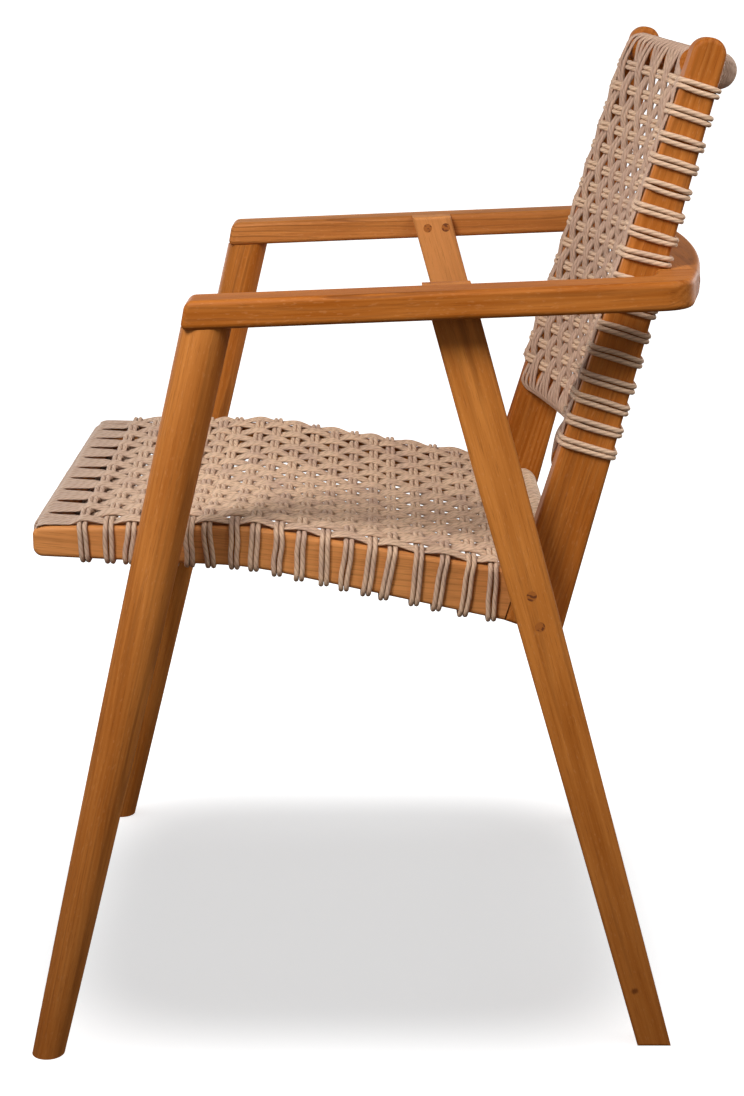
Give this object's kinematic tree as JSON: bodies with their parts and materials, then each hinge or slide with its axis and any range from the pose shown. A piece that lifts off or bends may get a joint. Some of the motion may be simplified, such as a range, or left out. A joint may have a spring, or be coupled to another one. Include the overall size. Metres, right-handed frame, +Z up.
{
  "type": "garden chair",
  "caption": "Hardwood armchair with raked legs, flat arms joined by a bowed rail behind the back, and a woven cord seat and back on a cranked frame.",
  "frame": {"origin": "on the floor, below the middle of the chair's bounding box", "axes": "+Z up, the chair faces -Y, +X is the sitter's left"},
  "size_m": [0.562, 0.5978, 0.836],
  "materials": {
    "teak": "oiled satin",
    "cord": "matte twisted cord",
    "steel": "plain"
  },
  "bodies": {
    "root": {"arm_back_rail": "teak", "arm_corner_dowels": "teak", "arm_joint_plugs": "teak", "arm_joint_screws": "steel", "arm_left": "teak", "arm_leg_dowels": "teak", "arm_right": "teak", "back_bottom_rail": "teak", "back_post_left": "teak", "back_post_right": "teak", "back_rail_dowels": "teak", "back_rail_plugs": "teak", "back_rail_screws": "steel", "back_top_rail": "teak", "back_warp_cords": "cord", "back_weft_cords": "cord", "front_leg_left": "teak", "front_leg_right": "teak", "front_stretcher": "teak", "post_rail_dowels": "teak", "rear_leg_left": "teak", "rear_leg_right": "teak", "rear_spacer_left": "teak", "rear_spacer_right": "teak", "seat_front_rail": "teak", "seat_joint_plugs": "teak", "seat_joint_screws": "steel", "seat_rail_dowels": "teak", "seat_rail_left": "teak", "seat_rail_right": "teak", "seat_rear_rail": "teak", "seat_warp_cords": "cord", "seat_weft_cords": "cord", "stretcher_dowels": "teak", "stretcher_plugs": "teak", "stretcher_screws": "steel"}
  },
  "joints": []
}
